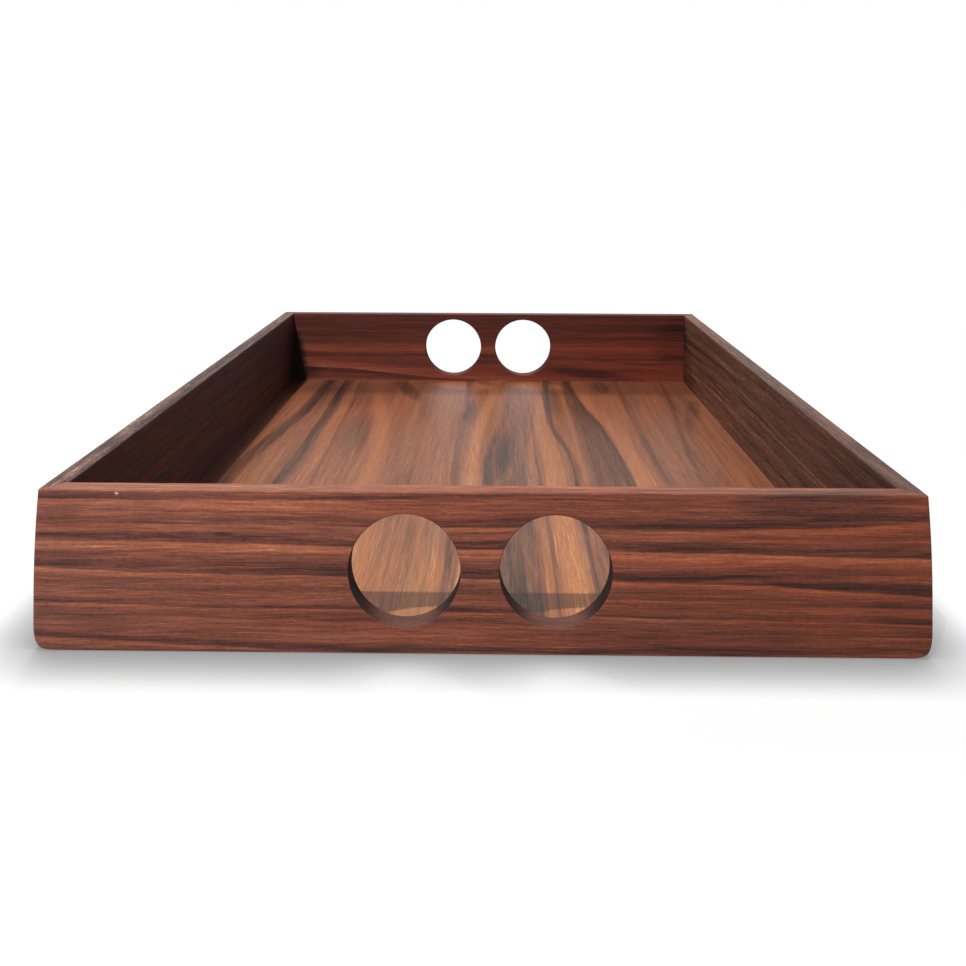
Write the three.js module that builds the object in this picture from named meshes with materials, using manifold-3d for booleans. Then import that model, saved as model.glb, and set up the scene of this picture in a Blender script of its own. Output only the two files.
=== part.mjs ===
// A walnut serving tray: four mitred boards, a floor panel in a rebate, and a hidden spline in each corner.
// Millimetres. X is across the tray, -Y is its front, +Z is up. The origin is on the table, under the centre.
import * as THREE from 'three';
import { mergeVertices } from 'three/addons/utils/BufferGeometryUtils.js';
import Module from 'manifold-3d';

// Overall size, over the boards' outer faces at their widest.
const TRAY_WIDTH = 356;
const TRAY_LENGTH = 457;
const TRAY_HEIGHT = 64;

// The boards. Their outer faces are sanded to lean in a little from mid height up to the rim.
const WALL = 10;
const RIM_LEAN = 1.2;
const LEAN_START = 22;
const GLUE_LINE = 0.3;

// Rounds along the rim, along the foot, and up the outside of the corners, which are rounder at the foot.
const RIM_ROUND = 0.8;
const FOOT_ROUND = 1.5;
const CORNER_ROUND = 1.5;
const FOOT_CORNER_ROUND = 10;
const FOOT_CORNER_RISE = 10;
const FOOT_CORNER_WOOD = 0.8;

// The finger holes: two in each short board, side by side. The back pair is a size larger and set higher.
// A pair's rise is how far its centres are above mid height.
const FRONT_HOLE_DIAMETER = 44.5;
const FRONT_HOLE_RISE = 1;
const BACK_HOLE_DIAMETER = 47.6;
const BACK_HOLE_RISE = 3.5;
const HOLE_SPACING = 60;
const HOLE_EASE = 0.5;

// The floor panel, and the rebate in the boards' inside bottom edge that it lies in.
const PANEL_THICKNESS = 6.4;
const PANEL_LIFT = 0.5;
const PANEL_CLEARANCE = 0.25;
const REBATE_DEPTH = 5;

// The splines: a stopped tongue across each mitre, nearer the inside of the corner.
const SPLINE_THICKNESS = 3;
const SPLINE_WIDTH = 8;
const SPLINE_HEIGHT = 40;
const SPLINE_FROM_INSIDE = 4;
const SPLINE_CLEARANCE = 0.15;

// How finely the rounds are cut into flats.
const EDGE_STEPS = 3;
const CORNER_STEPS = 4;
const LEAN_STEPS = 5;
const HOLE_SIDES = 48;

// Room that a cutting solid has past the face that it cuts.
const OVERCUT = 10;

const REBATE_HEIGHT = PANEL_THICKNESS + PANEL_LIFT;
const SPLINE_MIDDLE = (REBATE_HEIGHT + TRAY_HEIGHT) / 2;
const SPLINE_INSET = WALL - SPLINE_FROM_INSIDE / Math.SQRT2;
const QUARTER_TURN = Math.PI / 2;

const wasm = await Module();
wasm.setup();

const walnutWall = new THREE.MeshStandardMaterial({ color: 0x6e3f2d, roughness: 0.5, metalness: 0 });
const walnutFloor = new THREE.MeshStandardMaterial({ color: 0x9d6e54, roughness: 0.5, metalness: 0 });
const splineWood = new THREE.MeshStandardMaterial({ color: 0xb98f63, roughness: 0.7, metalness: 0 });

// A closed geometry as a solid that can be cut and joined.
function toSolid(geometry) {
  const bare = geometry.clone();
  bare.deleteAttribute('normal');
  bare.deleteAttribute('uv');
  const merged = mergeVertices(bare);
  return new wasm.Manifold(new wasm.Mesh({
    numProp: 3,
    vertProperties: new Float32Array(merged.attributes.position.array),
    triVerts: new Uint32Array(merged.index.array),
  }));
}

// A solid back as a geometry, with one normal for each facet.
function toGeometry(solid) {
  const mesh = solid.getMesh();
  const indexed = new THREE.BufferGeometry();
  indexed.setAttribute('position', new THREE.BufferAttribute(mesh.vertProperties, 3));
  indexed.setIndex(new THREE.BufferAttribute(mesh.triVerts, 1));
  const faceted = indexed.toNonIndexed();
  faceted.computeVertexNormals();
  return faceted;
}

// The heights at which the tray's outside changes, each with how far its faces stand in from the widest plan
// and with the radius of its corners there. They run from the foot to the rim.
function outsideLevels() {
  // A foot corner is only as round as leaves some wood outside the corner of the rebate.
  const footDiagonal = (WALL - REBATE_DEPTH - FOOT_ROUND) * Math.SQRT2;
  const roundest = Math.max(CORNER_ROUND, (footDiagonal - FOOT_CORNER_WOOD) / (Math.SQRT2 - 1));
  const footRound = Math.min(FOOT_CORNER_ROUND, roundest);
  const levels = [];
  const addLevel = (height, inset) => {
    const nearFoot = Math.max(0, 1 - height / FOOT_CORNER_RISE);
    const extraRound = (footRound - CORNER_ROUND) * (1 - Math.sqrt(1 - nearFoot ** 2));
    levels.push({ height, inset, round: CORNER_ROUND + extraRound });
  };
  for (let step = 0; step <= EDGE_STEPS; step += 1) {
    const turn = (step / EDGE_STEPS) * QUARTER_TURN;
    addLevel(FOOT_ROUND * (1 - Math.cos(turn)), FOOT_ROUND * (1 - Math.sin(turn)));
  }
  for (let step = 1; step <= CORNER_STEPS; step += 1) {
    addLevel(FOOT_ROUND + (FOOT_CORNER_RISE - FOOT_ROUND) * (step / CORNER_STEPS), 0);
  }
  const leanEnd = TRAY_HEIGHT - RIM_ROUND;
  for (let step = 0; step <= LEAN_STEPS; step += 1) {
    const part = step / LEAN_STEPS;
    addLevel(LEAN_START + (leanEnd - LEAN_START) * part, RIM_LEAN * part ** 2);
  }
  for (let step = 1; step <= EDGE_STEPS; step += 1) {
    const turn = (step / EDGE_STEPS) * QUARTER_TURN;
    addLevel(leanEnd + RIM_ROUND * Math.sin(turn), RIM_LEAN + RIM_ROUND * (1 - Math.cos(turn)));
  }
  return levels;
}

// The plan of the outside at one level, anticlockwise, as a rectangle with round corners.
function planAt(level, width, length) {
  const x = width / 2 - level.inset - level.round;
  const y = length / 2 - level.inset - level.round;
  const centres = [[x, -y], [x, y], [-x, y], [-x, -y]];
  const points = [];
  centres.forEach(([centreX, centreY], corner) => {
    for (let step = 0; step <= CORNER_STEPS; step += 1) {
      const turn = (corner - 1 + step / CORNER_STEPS) * QUARTER_TURN;
      points.push([
        centreX + level.round * Math.cos(turn),
        centreY + level.round * Math.sin(turn),
        level.height,
      ]);
    }
  });
  return points;
}

// The outside of a tray of this width and length, as one block with its plans skinned from foot to rim.
// Its front face is on y = 0, as a board's is.
function trayOutside(width, length) {
  const rings = outsideLevels().map((level) => planAt(level, width, length));
  const count = rings[0].length;
  const positions = [[0, 0, 0], ...rings.flat(), [0, 0, TRAY_HEIGHT]];
  const top = positions.length - 1;
  const at = (ring, point) => 1 + ring * count + (point % count);
  const index = [];
  for (let point = 0; point < count; point += 1) {
    index.push(0, at(0, point + 1), at(0, point));
    for (let ring = 0; ring < rings.length - 1; ring += 1) {
      index.push(at(ring, point), at(ring, point + 1), at(ring + 1, point + 1));
      index.push(at(ring, point), at(ring + 1, point + 1), at(ring + 1, point));
    }
    index.push(top, at(rings.length - 1, point), at(rings.length - 1, point + 1));
  }
  const geometry = new THREE.BufferGeometry();
  geometry.setAttribute('position', new THREE.Float32BufferAttribute(positions.flat(), 3));
  geometry.setIndex(index);
  geometry.translate(0, length / 2, 0);
  return toSolid(geometry);
}

// A board's cross-section as a bar along X, its inner face on y = WALL: the rebate below, a round at the rim.
// Its outer side runs past y = 0, where the tray's outside trims it.
function boardBar(length) {
  const shoulder = WALL - REBATE_DEPTH;
  const section = new THREE.Shape();
  section.moveTo(-OVERCUT, 0);
  section.lineTo(shoulder, 0);
  section.lineTo(shoulder, REBATE_HEIGHT);
  section.lineTo(WALL, REBATE_HEIGHT);
  section.lineTo(WALL, TRAY_HEIGHT - RIM_ROUND);
  section.absarc(WALL - RIM_ROUND, TRAY_HEIGHT - RIM_ROUND, RIM_ROUND, 0, QUARTER_TURN, false);
  section.lineTo(-OVERCUT, TRAY_HEIGHT);
  section.closePath();
  const geometry = new THREE.ExtrudeGeometry(section, {
    depth: length,
    curveSegments: EDGE_STEPS,
    bevelEnabled: false,
  });
  geometry.translate(0, 0, -length / 2);
  geometry.applyMatrix4(new THREE.Matrix4().makeBasis(
    new THREE.Vector3(0, 1, 0),
    new THREE.Vector3(0, 0, 1),
    new THREE.Vector3(1, 0, 0),
  ));
  return toSolid(geometry);
}

// The room between a board's two mitres. Each mitre stands back by half of the glue line.
function mitreRoom(length) {
  const half = length / 2 - GLUE_LINE / Math.SQRT2;
  const outline = new THREE.Shape();
  outline.moveTo(-half - OVERCUT, -OVERCUT);
  outline.lineTo(half + OVERCUT, -OVERCUT);
  outline.lineTo(half - WALL - OVERCUT, WALL + OVERCUT);
  outline.lineTo(-half + WALL + OVERCUT, WALL + OVERCUT);
  outline.closePath();
  const geometry = new THREE.ExtrudeGeometry(outline, {
    depth: TRAY_HEIGHT + 2 * OVERCUT,
    bevelEnabled: false,
  });
  geometry.translate(0, 0, -OVERCUT);
  return toSolid(geometry);
}

// A finger hole's cutter along Y: a bore through the wall, opened out in a quarter round at both faces.
function holeCutter(middleX, holes) {
  const bore = holes.diameter / 2;
  const mouth = bore + HOLE_EASE;
  const profile = [new THREE.Vector2(0, -OVERCUT), new THREE.Vector2(mouth, -OVERCUT)];
  const turns = [];
  for (let step = 0; step <= EDGE_STEPS; step += 1) {
    turns.push((step / EDGE_STEPS) * QUARTER_TURN);
  }
  for (const turn of turns) {
    profile.push(new THREE.Vector2(mouth - HOLE_EASE * Math.sin(turn), HOLE_EASE * (1 - Math.cos(turn))));
  }
  for (const turn of turns.reverse()) {
    profile.push(new THREE.Vector2(
      mouth - HOLE_EASE * Math.sin(turn),
      WALL - HOLE_EASE * (1 - Math.cos(turn)),
    ));
  }
  profile.push(new THREE.Vector2(mouth, WALL + OVERCUT), new THREE.Vector2(0, WALL + OVERCUT));
  const geometry = new THREE.LatheGeometry(profile, HOLE_SIDES);
  geometry.translate(middleX, 0, TRAY_HEIGHT / 2 + holes.rise);
  return toSolid(geometry);
}

// A spline's own shape, or with some clearance the shape of its slot.
function splineGeometry(clearance) {
  return new THREE.BoxGeometry(
    SPLINE_WIDTH + 2 * clearance,
    SPLINE_THICKNESS + 2 * clearance,
    SPLINE_HEIGHT + 2 * clearance,
  );
}

// One board, shaped as the front of a tray of this width and length, then turned round to its own side.
// A board with finger holes is given their diameter and rise.
function board(name, width, length, turn, holes) {
  let solid = boardBar(width).intersect(mitreRoom(width));
  if (holes) {
    solid = solid.subtract(holeCutter(-HOLE_SPACING / 2, holes));
    solid = solid.subtract(holeCutter(HOLE_SPACING / 2, holes));
  }
  solid = solid.intersect(trayOutside(width, length));
  for (const signX of [-1, 1]) {
    const slot = splineGeometry(SPLINE_CLEARANCE);
    slot.rotateZ(signX * QUARTER_TURN / 2);
    slot.translate(signX * (width / 2 - SPLINE_INSET), SPLINE_INSET, SPLINE_MIDDLE);
    solid = solid.subtract(toSolid(slot));
  }
  const mesh = new THREE.Mesh(toGeometry(solid), walnutWall);
  mesh.name = name;
  mesh.position.y = -length / 2;
  const side = new THREE.Group();
  side.rotation.z = turn;
  side.add(mesh);
  return side;
}

// The four boards, mitred into a frame.
function frameOfBoards() {
  const group = new THREE.Group();
  group.name = 'frame';
  const frontHoles = { diameter: FRONT_HOLE_DIAMETER, rise: FRONT_HOLE_RISE };
  const backHoles = { diameter: BACK_HOLE_DIAMETER, rise: BACK_HOLE_RISE };
  group.add(board('front_board', TRAY_WIDTH, TRAY_LENGTH, 0, frontHoles));
  group.add(board('right_board', TRAY_LENGTH, TRAY_WIDTH, QUARTER_TURN, null));
  group.add(board('back_board', TRAY_WIDTH, TRAY_LENGTH, 2 * QUARTER_TURN, backHoles));
  group.add(board('left_board', TRAY_LENGTH, TRAY_WIDTH, -QUARTER_TURN, null));
  return group;
}

// The floor panel, with a little room all round inside the rebates.
function floorPanel() {
  const inset = WALL - REBATE_DEPTH + PANEL_CLEARANCE;
  const geometry = new THREE.BoxGeometry(
    TRAY_WIDTH - 2 * inset,
    TRAY_LENGTH - 2 * inset,
    PANEL_THICKNESS,
  );
  const mesh = new THREE.Mesh(geometry, walnutFloor);
  mesh.name = 'floor_panel';
  mesh.position.z = PANEL_LIFT + PANEL_THICKNESS / 2;
  return mesh;
}

// The splines, one in each corner.
function cornerSplines() {
  const group = new THREE.Group();
  group.name = 'splines';
  group.position.z = SPLINE_MIDDLE;
  for (const [depth, signY] of [['front', -1], ['back', 1]]) {
    for (const [side, signX] of [['left', -1], ['right', 1]]) {
      const mesh = new THREE.Mesh(splineGeometry(0), splineWood);
      mesh.name = `spline_${depth}_${side}`;
      mesh.position.set(
        signX * (TRAY_WIDTH / 2 - SPLINE_INSET),
        signY * (TRAY_LENGTH / 2 - SPLINE_INSET),
        0,
      );
      mesh.rotation.z = -signX * signY * QUARTER_TURN / 2;
      group.add(mesh);
    }
  }
  return group;
}

const tray = new THREE.Group();
tray.name = 'tray';
tray.add(frameOfBoards(), floorPanel(), cornerSplines());

export default tray;
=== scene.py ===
"""A walnut serving tray: four mitred boards round a thin floor panel, seen from the front, just above it."""

import math
from typing import NamedTuple

import bpy
from mathutils import Matrix, Vector


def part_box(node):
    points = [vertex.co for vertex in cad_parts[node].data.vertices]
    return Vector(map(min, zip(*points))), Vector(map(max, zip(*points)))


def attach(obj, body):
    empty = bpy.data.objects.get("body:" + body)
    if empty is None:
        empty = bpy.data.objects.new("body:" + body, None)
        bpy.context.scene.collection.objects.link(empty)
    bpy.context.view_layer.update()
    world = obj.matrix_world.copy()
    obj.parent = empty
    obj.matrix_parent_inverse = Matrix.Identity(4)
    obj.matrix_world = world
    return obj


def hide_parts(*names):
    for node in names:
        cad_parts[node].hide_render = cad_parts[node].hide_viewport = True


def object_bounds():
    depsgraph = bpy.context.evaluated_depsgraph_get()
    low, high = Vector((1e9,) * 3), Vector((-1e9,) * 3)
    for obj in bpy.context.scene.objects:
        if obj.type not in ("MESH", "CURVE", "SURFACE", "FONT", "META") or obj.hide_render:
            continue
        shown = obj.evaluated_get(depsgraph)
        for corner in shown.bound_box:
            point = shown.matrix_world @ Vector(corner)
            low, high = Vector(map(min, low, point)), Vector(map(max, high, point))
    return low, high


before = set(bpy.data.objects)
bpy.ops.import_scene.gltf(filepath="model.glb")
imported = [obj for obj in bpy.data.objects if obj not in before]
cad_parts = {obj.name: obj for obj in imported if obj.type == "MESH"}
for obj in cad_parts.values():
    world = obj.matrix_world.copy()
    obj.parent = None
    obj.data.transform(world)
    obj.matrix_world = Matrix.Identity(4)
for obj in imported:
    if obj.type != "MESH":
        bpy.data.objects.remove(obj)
cad_low, cad_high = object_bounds()

MM = 0.001

# The boards, as in the construction. Sizes are in metres.
TRAY_WIDTH = cad_high.x - cad_low.x
TRAY_LENGTH = cad_high.y - cad_low.y
TRAY_HEIGHT = cad_high.z - cad_low.z
WALL = 10 * MM
RIM_LEAN = 1.2 * MM
LEAN_START = 22 * MM
RIM_ROUND = 0.8 * MM
FOOT_ROUND = 1.5 * MM
CORNER_ROUND = 1.0 * MM
FOOT_CORNER_ROUND = 10 * MM
FOOT_CORNER_RISE = 10 * MM
FRONT_HOLE_RADIUS = 22.25 * MM
FRONT_HOLE_HEIGHT = 33 * MM
BACK_HOLE_RADIUS = 23.8 * MM
BACK_HOLE_HEIGHT = 35.5 * MM
HOLE_SPACING = 60 * MM
HOLE_EASE = 0.5 * MM
REBATE_DEPTH = 5 * MM
_, panel_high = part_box("floor_panel")
REBATE_HEIGHT = panel_high.z
GLUE_LINE = 0.05 * MM
SPLINE_THICKNESS = 3 * MM
SPLINE_WIDTH = 8 * MM
SPLINE_HEIGHT = 40 * MM
SPLINE_FROM_INSIDE = 4 * MM
SPLINE_CLEARANCE = 0.15 * MM
SPLINE_INSET = WALL - SPLINE_FROM_INSIDE / math.sqrt(2)

# How finely the boards are divided, how far outside the wall a drill starts, and the angle at which an edge
# is sharp enough to stay an arris.
ROUND_STEPS = 6
FACE_ROWS = 10
FOOT_ROWS = 9
STATIONS = 129
HOLE_SIDES = 96
OVERCUT = 4 * MM
ARRIS_ANGLE = math.radians(35)

# Lengths under these count as the same height, and as no length at all.
SAME_PLACE = 0.01 * MM
NO_LENGTH = 0.001 * MM


class Term:
    """One value inside a node tree. Arithmetic on it adds the nodes that work the result out."""

    def __init__(self, graph, socket):
        self.graph = graph
        self.socket = socket

    def __add__(self, other):
        return self.graph.math("ADD", self, other)

    def __radd__(self, other):
        return self.graph.math("ADD", other, self)

    def __sub__(self, other):
        return self.graph.math("SUBTRACT", self, other)

    def __rsub__(self, other):
        return self.graph.math("SUBTRACT", other, self)

    def __mul__(self, other):
        return self.graph.math("MULTIPLY", self, other)

    def __truediv__(self, other):
        return self.graph.math("DIVIDE", self, other)

    def output(self, name):
        """Another output of the same node."""
        return Term(self.graph, self.socket.node.outputs[name])


class Graph:
    """Adds nodes to one tree and links them."""

    def __init__(self, tree):
        self.tree = tree

    def node(self, kind, *values, out=0, named=None, **settings):
        """A node with its first sockets fed in order and others by name. Returns its output number out."""
        made = self.tree.nodes.new(kind)
        for key, value in settings.items():
            setattr(made, key, value)
        for socket, value in zip(made.inputs, values):
            self.feed(socket, value)
        for name, value in (named or {}).items():
            self.feed(made.inputs[name], value)
        return Term(self, made.outputs[out]) if made.outputs else made

    def feed(self, socket, value):
        if isinstance(value, Term):
            self.tree.links.new(value.socket, socket)
        elif value is not None:
            socket.default_value = value

    def math(self, operation, *values):
        return self.node("ShaderNodeMath", *values, operation=operation)

    def minimum(self, a, b):
        return self.math("MINIMUM", a, b)

    def maximum(self, a, b):
        return self.math("MAXIMUM", a, b)

    def size_of(self, value):
        return self.math("ABSOLUTE", value)

    def step(self, value, low, high, start=0.0, end=1.0, kind="SMOOTHSTEP"):
        """Goes from start to end as the value goes from low to high, and stays level beyond them."""
        return self.node("ShaderNodeMapRange", value, low, high, start, end, interpolation_type=kind)

    def between(self, share, start, end):
        """The value that lies this share of the way from start to end."""
        return start if start == end else share * (end - start) + start

    def split(self, vector):
        x = self.node("ShaderNodeSeparateXYZ", vector)
        return x, x.output("Y"), x.output("Z")

    def join(self, x, y, z):
        return self.node("ShaderNodeCombineXYZ", x, y, z)

    def colours(self, share, stops):
        """A colour that runs through evenly spaced stops as the share goes from 0 to 1."""
        ramp = self.node("ShaderNodeValToRGB", share)
        elements = ramp.socket.node.color_ramp.elements
        while len(elements) < len(stops):
            elements.new(0.5)
        for number, (element, stop) in enumerate(zip(elements, stops)):
            element.position = number / (len(stops) - 1)
            element.color = (*stop, 1.0)
        return ramp

    def layer(self, place, size, detail, roughness=0.5):
        """Noise from 0 to 1, mostly near a half, with features of about this size each of the three ways."""
        point = self.join(*(way / reach for way, reach in zip(place, size)))
        return self.node("ShaderNodeTexNoise", named={
            "Vector": point, "Scale": 1.0, "Detail": detail, "Roughness": roughness})

    def blend(self, share, a, b, kind="MIX"):
        """One colour laid over another by this share."""
        mixed = self.node("ShaderNodeMix", share, data_type="RGBA", blend_type=kind, out=2)
        for socket, colour in zip(mixed.socket.node.inputs[6:8], (a, b)):
            self.feed(socket, colour if isinstance(colour, Term) else (*colour, 1.0))
        return mixed

    def tinted(self, colour, tint, share=1.0):
        """A colour multiplied by a tint, as far as the share says."""
        return self.blend(share, colour, tint, "MULTIPLY")


def pick(graph, index, choices, kind):
    """The choice that an index names, as a field."""
    made = graph.tree.nodes.new("GeometryNodeIndexSwitch")
    made.data_type = kind
    while len(made.index_switch_items) < len(choices):
        made.index_switch_items.new()
    graph.feed(made.inputs[0], index)
    for socket, choice in zip(made.inputs[1:], choices):
        graph.feed(socket, choice)
    return Term(graph, made.outputs[0])


BOARD_SIZES = {
    "Length": TRAY_WIDTH,
    "Height": TRAY_HEIGHT,
    "Wall": WALL,
    "Rim Lean": RIM_LEAN,
    "Lean Start": LEAN_START,
    "Rim Round": RIM_ROUND,
    "Foot Round": FOOT_ROUND,
    "Corner Round": CORNER_ROUND,
    "Foot Corner Round": FOOT_CORNER_ROUND,
    "Foot Corner Rise": FOOT_CORNER_RISE,
    "Rebate Depth": REBATE_DEPTH,
    "Rebate Height": REBATE_HEIGHT,
    "Hole Radius": FRONT_HOLE_RADIUS,
    "Hole Spacing": HOLE_SPACING,
    "Hole Height": FRONT_HOLE_HEIGHT,
    "Hole Ease": HOLE_EASE,
    "Glue Line": GLUE_LINE,
    "Spline Inset": SPLINE_INSET,
    "Slot Width": SPLINE_WIDTH + 2 * SPLINE_CLEARANCE,
    "Slot Thickness": SPLINE_THICKNESS + 2 * SPLINE_CLEARANCE,
    "Slot Height": SPLINE_HEIGHT + 2 * SPLINE_CLEARANCE,
    "Reach": TRAY_LENGTH / 2,
    "Turn": 0.0,
}


def board_section(graph, size):
    """The board's cross-section as a closed curve, in depth from the outer face and height."""
    shoulder = size["Wall"] - size["Rebate Depth"]
    corners = [
        (0.0, 0.0, size["Foot Round"]),
        (0.0, size["Foot Corner Rise"], 0.0),
        (0.0, size["Height"], size["Rim Round"]),
        (size["Wall"], size["Height"], size["Rim Round"]),
        (size["Wall"], size["Rebate Height"], 0.0),
        (shoulder, size["Rebate Height"], 0.0),
        (shoulder, 0.0, 0.0),
    ]
    index = graph.node("GeometryNodeInputIndex")
    line = graph.node("GeometryNodeCurvePrimitiveLine", (0, 0, 0), (1, 0, 0))
    points = graph.node("GeometryNodeResampleCurve", line, None, len(corners), mode="COUNT")
    places = pick(graph, index, [graph.join(depth, height, 0.0) for depth, height, _ in corners], "VECTOR")
    placed = graph.node("GeometryNodeSetPosition", points, None, places)
    closed = graph.node("GeometryNodeSetSplineCyclic", placed, None, True)
    radii = pick(graph, index, [radius for _, _, radius in corners], "FLOAT")
    rounded = graph.node("GeometryNodeFilletCurve", closed, ROUND_STEPS, radii, True, mode="POLY")
    depth, height, _ = graph.split(graph.node("GeometryNodeInputPosition"))
    outside = graph.math("COMPARE", depth, 0.0, SAME_PLACE)
    foot = graph.math("COMPARE", height, size["Foot Round"], SAME_PLACE) * (FOOT_ROWS - 1)
    face = graph.math("COMPARE", height, size["Foot Corner Rise"], SAME_PLACE) * (FACE_ROWS - 1)
    return graph.node("GeometryNodeSubdivideCurve", rounded, outside * (foot + face))


def board_bar(graph, size):
    """The section swept straight along X, with its stations closer together towards the ends."""
    line = graph.node("GeometryNodeCurvePrimitiveLine", (0, 0, 0), (1, 0, 0))
    points = graph.node("GeometryNodeResampleCurve", line, None, STATIONS, mode="COUNT")
    along = graph.node("GeometryNodeSplineParameter") * 2.0 - 1.0
    from_end = 1.0 - graph.size_of(along)
    reach = graph.math("SIGN", along) * (1.0 - from_end * from_end) * size["Length"] * 0.5
    placed = graph.node("GeometryNodeSetPosition", points, None, graph.join(reach, 0.0, 0.0))
    # A sweep along X lays the section's own axes against depth and height, so both are turned over.
    section = graph.node("GeometryNodeTransform", board_section(graph, size), None, None, (-1, -1, 1))
    return graph.node("GeometryNodeCurveToMesh", placed, section, 1.0, True)


def hole_cutters(graph, size):
    """Two bores along Y through the wall, each opened out in a quarter round at both faces."""
    rings = 2 * (ROUND_STEPS + 2)
    line = graph.node("GeometryNodeCurvePrimitiveLine", (0, 0, 0), (0, 1, 0))
    points = graph.node("GeometryNodeResampleCurve", line, None, rings, mode="COUNT")
    index = graph.node("GeometryNodeInputIndex")
    from_face = graph.minimum(index, (rings - 1) - index)
    turn = graph.maximum(from_face - 1.0, 0.0) * (math.pi / 2 / ROUND_STEPS)
    outside = graph.math("LESS_THAN", from_face, 0.5)
    depth = size["Hole Ease"] * (1.0 - graph.math("COSINE", turn)) - outside * OVERCUT
    radius = size["Hole Radius"] + size["Hole Ease"] * (1.0 - graph.math("SINE", turn))
    far_side = graph.math("GREATER_THAN", index, rings / 2 - 0.5)
    place = depth + far_side * (size["Wall"] - depth * 2.0)
    placed = graph.node("GeometryNodeSetPosition", points, None, graph.join(0.0, place, 0.0))
    circle = graph.node("GeometryNodeCurvePrimitiveCircle", HOLE_SIDES, named={"Radius": 1.0})
    bore = graph.node("GeometryNodeCurveToMesh", placed, circle, radius, True)
    half = size["Hole Spacing"] * 0.5
    spots = graph.node(
        "GeometryNodeMeshLine", 2, None, graph.join(half * -1.0, 0.0, size["Hole Height"]),
        graph.join(size["Hole Spacing"], 0.0, 0.0))
    copies = graph.node("GeometryNodeInstanceOnPoints", spots, None, bore)
    return graph.node("GeometryNodeRealizeInstances", copies)


def lean_and_mitre(graph, size, bar):
    """Leans the outer face in towards the rim, draws the ends in to their mitres and rounds the corners."""
    x, y, z = graph.split(graph.node("GeometryNodeInputPosition"))
    half = size["Length"] * 0.5
    side = graph.math("SIGN", x)
    part = graph.step(z, size["Lean Start"], size["Height"] - size["Rim Round"], kind="LINEAR")
    inset = size["Rim Lean"] * part * part
    depth = y + inset * (1.0 - y / size["Wall"])
    straight = size["Hole Spacing"] * 0.5 + size["Hole Radius"] + size["Hole Ease"]
    drawn_in = graph.step(graph.size_of(x), straight, half, kind="LINEAR")
    reach = graph.size_of(x) - (depth + size["Glue Line"]) * drawn_in
    # Within the corner's radius, the square plan is pressed into a circle about its centre. The press is
    # full on the outer face and dies out by the shoulder of the rebate.
    near_foot = 1.0 - graph.step(z, 0.0, size["Foot Corner Rise"], kind="LINEAR")
    widening = 1.0 - graph.math("SQRT", 1.0 - near_foot * near_foot)
    radius = size["Corner Round"] + (size["Foot Corner Round"] - size["Corner Round"]) * widening
    across = radius - (half - inset - reach)
    inward = radius - (depth - inset)
    inside = graph.math("GREATER_THAN", graph.minimum(across, inward), 0.0)
    length = graph.math("SQRT", across * across + inward * inward)
    press = graph.maximum(across, inward) / graph.maximum(length, NO_LENGTH)
    beneath = (radius - graph.maximum(across, inward)) / (size["Wall"] - size["Rebate Depth"])
    fade = graph.maximum(1.0 - beneath * beneath, 0.0)
    scale = 1.0 + inside * (press - 1.0) * fade
    new_reach = half - inset - radius + across * scale
    new_depth = inset + radius - inward * scale
    return graph.node("GeometryNodeSetPosition", bar, None, graph.join(side * new_reach, new_depth, z))


def spline_slots(graph, size):
    """The slots for the hidden splines, one across each mitre."""
    box = graph.node(
        "GeometryNodeMeshCube",
        graph.join(size["Slot Width"], size["Slot Thickness"], size["Slot Height"]))
    middle = (size["Rebate Height"] + size["Height"]) * 0.5
    reach = size["Length"] * 0.5 - size["Spline Inset"]
    slots = graph.tree.nodes.new("GeometryNodeJoinGeometry")
    for side in (-1.0, 1.0):
        place = graph.join(reach * side, size["Spline Inset"], middle)
        turned = graph.node("GeometryNodeTransform", box, place, (0, 0, side * math.pi / 4))
        graph.tree.links.new(turned.socket, slots.inputs[0])
    return Term(graph, slots.outputs[0])


def mitred_board_tree():
    """A mitred board as geometry nodes, with every size as a named input."""
    tree = bpy.data.node_groups.new("mitred board", "GeometryNodeTree")
    for name in BOARD_SIZES:
        tree.interface.new_socket(name, in_out="INPUT", socket_type="NodeSocketFloat")
    tree.interface.new_socket("Finger Holes", in_out="INPUT", socket_type="NodeSocketBool")
    tree.interface.new_socket("Wood", in_out="INPUT", socket_type="NodeSocketMaterial")
    tree.interface.new_socket("Board", in_out="OUTPUT", socket_type="NodeSocketGeometry")
    graph = Graph(tree)
    given = graph.node("NodeGroupInput")
    size = {name: given.output(name) for name in BOARD_SIZES}
    bar = board_bar(graph, size)
    drills = hole_cutters(graph, size)
    drilled = graph.node("GeometryNodeMeshBoolean", bar, drills, operation="DIFFERENCE", solver="EXACT")
    has_holes = given.output("Finger Holes")
    chosen = graph.node("GeometryNodeSwitch", has_holes, bar, drilled, input_type="GEOMETRY")
    shaped = lean_and_mitre(graph, size, chosen)
    slots = spline_slots(graph, size)
    slotted = graph.node("GeometryNodeMeshBoolean", shaped, slots, operation="DIFFERENCE", solver="EXACT")
    smooth = graph.node("GeometryNodeSetShadeSmooth", slotted, None, True, domain="FACE")
    angle = graph.node("GeometryNodeInputMeshEdgeAngle")
    arris = graph.node("FunctionNodeCompare", angle, ARRIS_ANGLE, operation="GREATER_THAN")
    creased = graph.node("GeometryNodeSetShadeSmooth", smooth, arris, False, domain="EDGE")
    moved = graph.node("GeometryNodeTransform", creased, graph.join(0.0, size["Reach"] * -1.0, 0.0))
    turned = graph.node("GeometryNodeTransform", moved, None, graph.join(0.0, 0.0, size["Turn"]))
    real = graph.node("GeometryNodeRealizeInstances", turned)
    finished = graph.node("GeometryNodeSetMaterial", real, None, given.output("Wood"))
    result = tree.nodes.new("NodeGroupOutput")
    tree.links.new(finished.socket, result.inputs[0])
    return tree


def socket_named(tree, name):
    """The identifier by which a modifier knows one of the tree's inputs."""
    return next(item.identifier for item in tree.interface.items_tree if item.name == name)


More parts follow.
